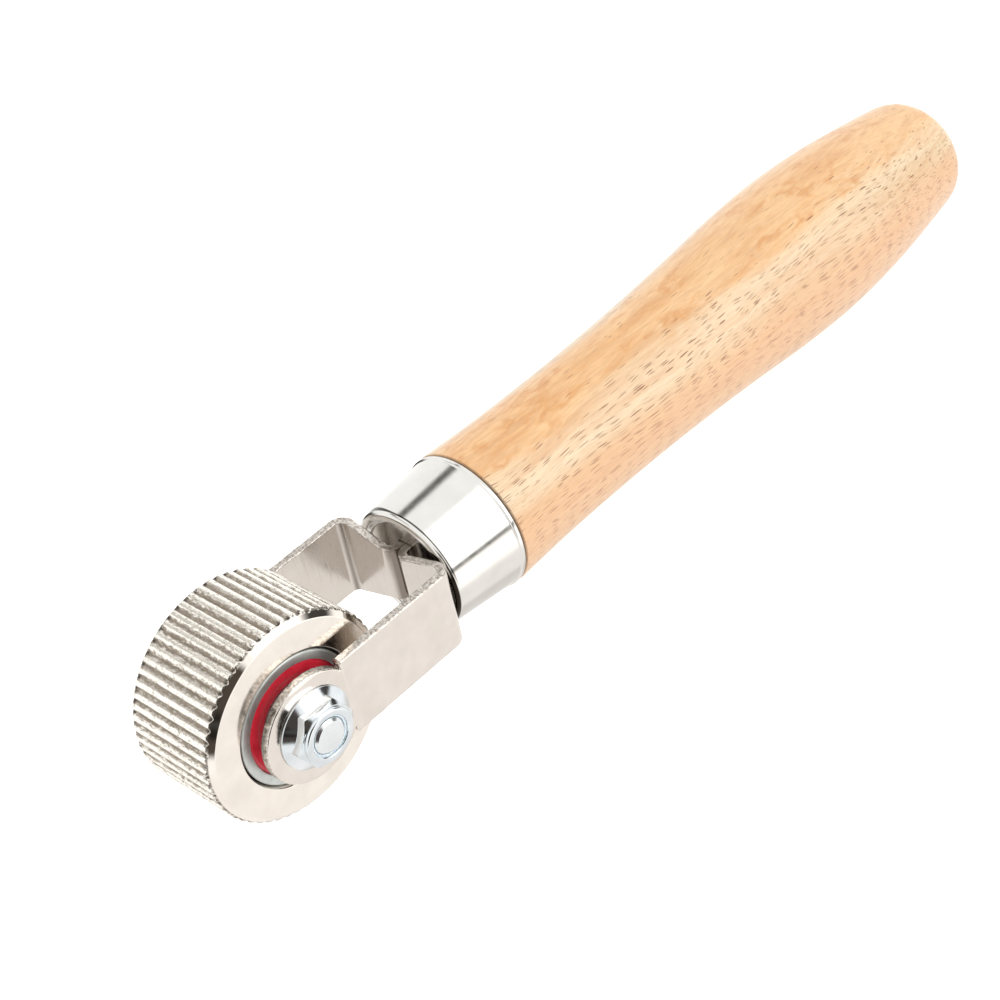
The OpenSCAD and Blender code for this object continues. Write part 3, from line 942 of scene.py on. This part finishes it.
def bolt_parts():
    """Threaded shank with a chamfered end, and a hexagon head with a washer face."""
    end = rounded([
        (0, bolt_end_y, 0), (BOLT_R - 0.5, bolt_end_y, 0.12), (BOLT_R, bolt_end_y + 0.4, 0.15),
        (BOLT_R, bolt_end_y + 0.9, 0),
    ], 15)
    thread = [(BOLT_R, place) for place in np.arange(bolt_end_y + 1, bolt_end_y + THREAD_L, 0.125)]
    rest = [(BOLT_R, arm_y), (0, arm_y)]
    shank = turned(np.concatenate([end, thread, rest]), 64, shape=threaded)
    steps = 240
    angle = np.arange(steps) * FULL_TURN / steps
    wall = hexagon(angle, head_af, 0.05)
    top = head_top_y - arm_y
    shoulder = top - np.clip(wall - (head_af / 2 - 0.1), 0, 2) * 0.62
    rows = [
        (0, 0), (head_af / 2 - 0.3, 0), (head_af / 2 - 0.2, 0.2), (wall - 0.1, 0.22), (wall, 0.32),
        (wall, shoulder - 0.12), (wall - 0.03, shoulder - 0.03), (wall - 0.12, shoulder + 0.03),
        (head_af / 2 - 0.2, top), (head_af / 2 - 0.5, top - 0.02), (2.4, top - 0.05),
        (2.1, top - 0.2), (0, top - 0.2),
    ]
    return [shank, around(rows, steps, lambda value: arm_y + value)]


def make_fasteners():
    piece(
        "axle_bolt_m6", bolt_parts(), "frame",
        zinc("bolt_zinc", (0.66, 0.69, 0.71), (0.78, 0.81, 0.83), 0.2), ["axle_bolt"], 32,
    )
    piece(
        "flanged_lock_nut", [nut_part()], "frame",
        zinc("nut_zinc", (0.62, 0.66, 0.69), (0.74, 0.78, 0.81), 0.1), ["lock_nut"], 32,
    )
    piece("locking_ring", [insert_part()], "frame", nylon(), ["nut_insert"], 50)


# ---------------------------------------------------- the ferrule and the handle

FERRULE_FRONT_R = 11.0
FERRULE_T = 0.8
RIM_R = 0.8
END_RECESS = 0.9
LIP_W = 0.9
LIP_RISE = 0.15
SLOT_GAP = 0.1
SLOT_HALF_Y = SHEET_T + SLOT_GAP
SLOT_HALF_Z = FOLD_H / 2 + SLOT_GAP
SLOT_RING_R = 6.4
TENON_GAP = 0.1
MORTISE_GAP = 1.0


def slotted_wall(front_x, back_x, radius, steps):
    """Disc from front_x to back_x with a slot for the tang, open at its rim to join a turned part."""
    rim = [(radius * math.cos(turn), radius * math.sin(turn))
           for turn in np.arange(steps) * FULL_TURN / steps]
    slot = rounded([
        (SLOT_HALF_Y, -SLOT_HALF_Z, 0.15), (SLOT_HALF_Y, SLOT_HALF_Z, 0.15),
        (-SLOT_HALF_Y, SLOT_HALF_Z, 0.15), (-SLOT_HALF_Y, -SLOT_HALF_Z, 0.15),
    ], 30)
    points, faces = [], []
    for x in (front_x, back_x):
        start = len(points)
        points += [(x, y, z) for y, z in rim] + [(x, y, z) for y, z in slot]
        loops = [[Vector((y, z, 0)) for y, z in loop] for loop in (rim, slot)]
        faces += [[start + corner for corner in face] for face in tessellate_polygon(loops)]
    layer = len(rim) + len(slot)
    for step in range(len(slot)):
        right = (step + 1) % len(slot)
        here, there = len(rim) + step, len(rim) + right
        faces.append([here, there, layer + there, layer + here])
    return points, faces


def open_turned(outline, steps):
    """An outline turned about X whose two ends stay apart, to be joined to another part."""
    points, faces = turned(outline, steps, "X")
    return points, faces[:-steps]


def make_ferrule():
    steps = 192
    body_end = lip_r - LIP_RISE
    slope = (body_end - FERRULE_FRONT_R) / (ferrule_end_x - ferrule_x)
    end_x = ferrule_x + END_RECESS
    inner_r = FERRULE_FRONT_R - 2 * RIM_R
    outline = rounded([
        (SLOT_RING_R, end_x, 0), (inner_r - 0.5, end_x, 0.6), (inner_r + 0.1, ferrule_x, 0.4),
        (FERRULE_FRONT_R, ferrule_x, 0.75),
        (body_end - slope * LIP_W, ferrule_end_x - LIP_W, 0.12),
        (lip_r, ferrule_end_x - LIP_W + 0.2, 0.18), (lip_r, ferrule_end_x, 0.2),
        (body_end - FERRULE_T, ferrule_end_x, 0.05),
        (FERRULE_FRONT_R + slope * 1.7 - FERRULE_T, end_x + FERRULE_T, 0.3),
        (SLOT_RING_R, end_x + FERRULE_T, 0),
    ], 9)
    shell = open_turned(outline, steps)
    wall = slotted_wall(end_x, end_x + FERRULE_T, SLOT_RING_R, steps)
    piece("drawn_ferrule", [shell, wall], "frame", ferrule_nickel(), ["ferrule"], 50)


def handle_profile():
    """(radius, x) along the wood behind the ferrule, read from the CAD handle."""
    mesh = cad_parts["handle"].data
    points = np.array([vertex.co for vertex in mesh.vertices]) / MM
    radius = np.hypot(points[:, 1], points[:, 2])
    places = np.unique(np.round(points[:, 0], 2))
    outer = np.array([radius[np.abs(points[:, 0] - place) < 0.006].max() for place in places])
    keep = (places > ferrule_end_x - 0.01) & (outer > SLOT_RING_R)
    return np.stack([outer[keep], places[keep]], 1)


def make_handle():
    steps = 160
    side = handle_profile()
    edge = side[0][0]
    mortise_x = tang_end_x + MORTISE_GAP
    front_r = FERRULE_FRONT_R - FERRULE_T + TENON_GAP
    outline = [
        (SLOT_RING_R, tenon_x), (front_r - 0.3, tenon_x), (front_r, tenon_x + 0.3),
        (lip_r - LIP_RISE - FERRULE_T - TENON_GAP, ferrule_end_x), (edge - 0.8, ferrule_end_x),
        (edge - 0.3, ferrule_end_x + 0.22), (edge - 0.05, ferrule_end_x + 0.5),
    ]
    outline += [tuple(row) for row in side if row[1] > ferrule_end_x + 0.7]
    outline += [(0, butt_x), (0, mortise_x), (SLOT_RING_R, mortise_x)]
    shell = open_turned(np.array(outline), steps)
    wall = slotted_wall(tenon_x, mortise_x, SLOT_RING_R, steps)
    piece("beech_handle", [shell, wall], "frame", beech(), ["handle"], 40)


# ----------------------------------------------------------- the hidden nodes

def dress_hidden_nodes():
    """Materials for the CAD nodes that stay as they are."""
    turned_look, ball_look, cage_look = turned_steel(), ball_steel(), cage_polyamide()
    for word in ("near", "far"):
        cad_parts[f"{word}_balls"].data.materials[0] = ball_look
        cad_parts[f"{word}_cage"].data.materials[0] = cage_look
        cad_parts[f"{word}_bush"].data.materials[0] = turned_look
    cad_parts["ring_spacer"].data.materials[0] = turned_look


# --------------------------------------------------------- floor, light, camera

FLOOR_HALF = 1500.0
FLOOR_GAP = 0.02


def make_floor():
    """A wide pale floor just under the wheel and the handle's swell."""
    profile = handle_profile()
    swell_r, swell_x = profile[np.argmax(profile[:, 0])]
    tilt = math.atan2(wheel_r - swell_r, swell_x)
    below = wheel_r / math.cos(tilt) + FLOOR_GAP
    points = [
        (x * MM, y * MM, (x * math.tan(tilt) - below) * MM)
        for x, y in (
            (-FLOOR_HALF, -FLOOR_HALF), (FLOOR_HALF, -FLOOR_HALF),
            (FLOOR_HALF, FLOOR_HALF), (-FLOOR_HALF, FLOOR_HALF),
        )
    ]
    mesh = bpy.data.meshes.new("floor")
    mesh.from_pydata(points, [], [(0, 1, 2, 3)])
    look = Look("floor_paper", {"Roughness": 0.9, "Specular IOR Level": 0.1})
    paper = look.noise(60, 3)
    look.set("Base Color", look.ramp(paper, (0.3, 0.93, 0.93, 0.93), (0.7, 0.95, 0.95, 0.95)))
    look.set("Emission Color", (1, 1, 1, 1))
    look.set("Emission Strength", 0.6)
    mesh.materials.append(look.material)
    floor = bpy.data.objects.new("floor", mesh)
    bpy.context.scene.collection.objects.link(floor)
    floor.visible_glossy = False


def within(nodes, angle, centre, half, soft):
    """1 where an angle of the sky is within half of the centre, in degrees, with a soft edge."""
    off = nodes.math("ABSOLUTE", nodes.math("SUBTRACT", angle, math.radians(centre)))
    outer, inner = math.radians(half + soft / 2), math.radians(half - soft / 2)
    return nodes.span(off, outer, inner, smooth=True)


def make_world():
    """A bright tent round the part. Each panel is (azimuth, elevation, half width, half height, soft
    edge, strength, red, green, blue), in degrees: the softbox, and the dark gaps the metal mirrors."""
    panels = [
        (10, -75, 200, 40, 20, 1.0, 1.12, 1.09, 1.06),
        (12, -64, 45, 12, 22, 1.0, 0.86, 0.83, 0.80),
        (-62, 36, 20, 34, 10, 1.0, 2.5, 2.5, 2.45),
        (-66, -17, 20, 15, 14, 0.9, 1.75, 1.7, 1.62),
        (-117, 8, 22, 28, 8, 0.97, 0.05, 0.034, 0.024),
        (-131, 4, 9, 12, 6, 0.9, 0.015, 0.014, 0.012),
        (-92, 0, 35, 3.4, 5, 0.95, 0.09, 0.085, 0.08),
        (57, 50, 14, 6, 7, 0.95, 0.11, 0.10, 0.09),
        (118, 44, 42, 6, 8, 0.8, 0.2, 0.17, 0.14),
        (96, -12, 22, 11, 8, 0.95, 0.03, 0.025, 0.02),
        (-25, 7, 15, 9, 8, 0.97, 0.03, 0.025, 0.02),
    ]
    world = bpy.data.worlds.new("studio")
    bpy.context.scene.world = world
    world.use_nodes = True
    nodes = Nodes(world.node_tree)
    place = nodes.node("ShaderNodeTexCoord").outputs["Generated"]
    axes = nodes.node("ShaderNodeSeparateXYZ", {0: place}).outputs
    azimuth = nodes.math("ARCTAN2", axes["Y"], axes["X"])
    elevation = nodes.math("ARCSINE", axes["Z"])
    colour = (1.22, 1.22, 1.2)
    for centre_az, centre_el, half_az, half_el, soft, strength, *tint in panels:
        beside = within(nodes, azimuth, centre_az, half_az, soft)
        level = within(nodes, elevation, centre_el, half_el, soft)
        share = nodes.math("MULTIPLY", nodes.math("MULTIPLY", beside, level), strength)
        colour = nodes.mix(share, colour, tuple(tint))
    nodes.feed(nodes.tree.nodes["Background"].inputs["Color"], colour)


def make_lights():
    """Two faint soft lamps that the metal doesn't mirror, aimed at the middle of the tool."""
    for name, place, size, power in (
        ("key", (0.05, -0.6, 0.7), 0.4, 0.5),
        ("fill", (-0.5, 0.3, 0.8), 0.6, 0.1),
    ):
        data = bpy.data.lights.new(name, "AREA")
        data.size = size
        data.energy = power
        lamp = bpy.data.objects.new(name, data)
        lamp.visible_glossy = False
        lamp.location = place
        lamp.rotation_euler = (Vector((0.06, 0, 0)) - Vector(place)).to_track_quat("-Z", "Y").to_euler()
        bpy.context.scene.collection.objects.link(lamp)


def make_camera():
    """A camera in front of the wheel, above it and on its near side, rolled a little."""
    data = bpy.data.cameras.new("camera")
    data.lens = 81.93
    data.sensor_width = 36
    data.clip_start = 0.01
    camera = bpy.data.objects.new("camera", data)
    camera.location = (-0.13021, -0.22467, 0.23006)
    camera.rotation_euler = [math.radians(turn) for turn in (50.847, 9.837, -47.328)]
    bpy.context.scene.collection.objects.link(camera)
    bpy.context.scene.camera = camera


make_wheel()
make_bearings()
make_fork()
make_fasteners()
make_ferrule()
make_handle()
dress_hidden_nodes()
make_floor()
make_world()
make_lights()
make_camera()
bpy.context.scene.view_settings.view_transform = "Standard"
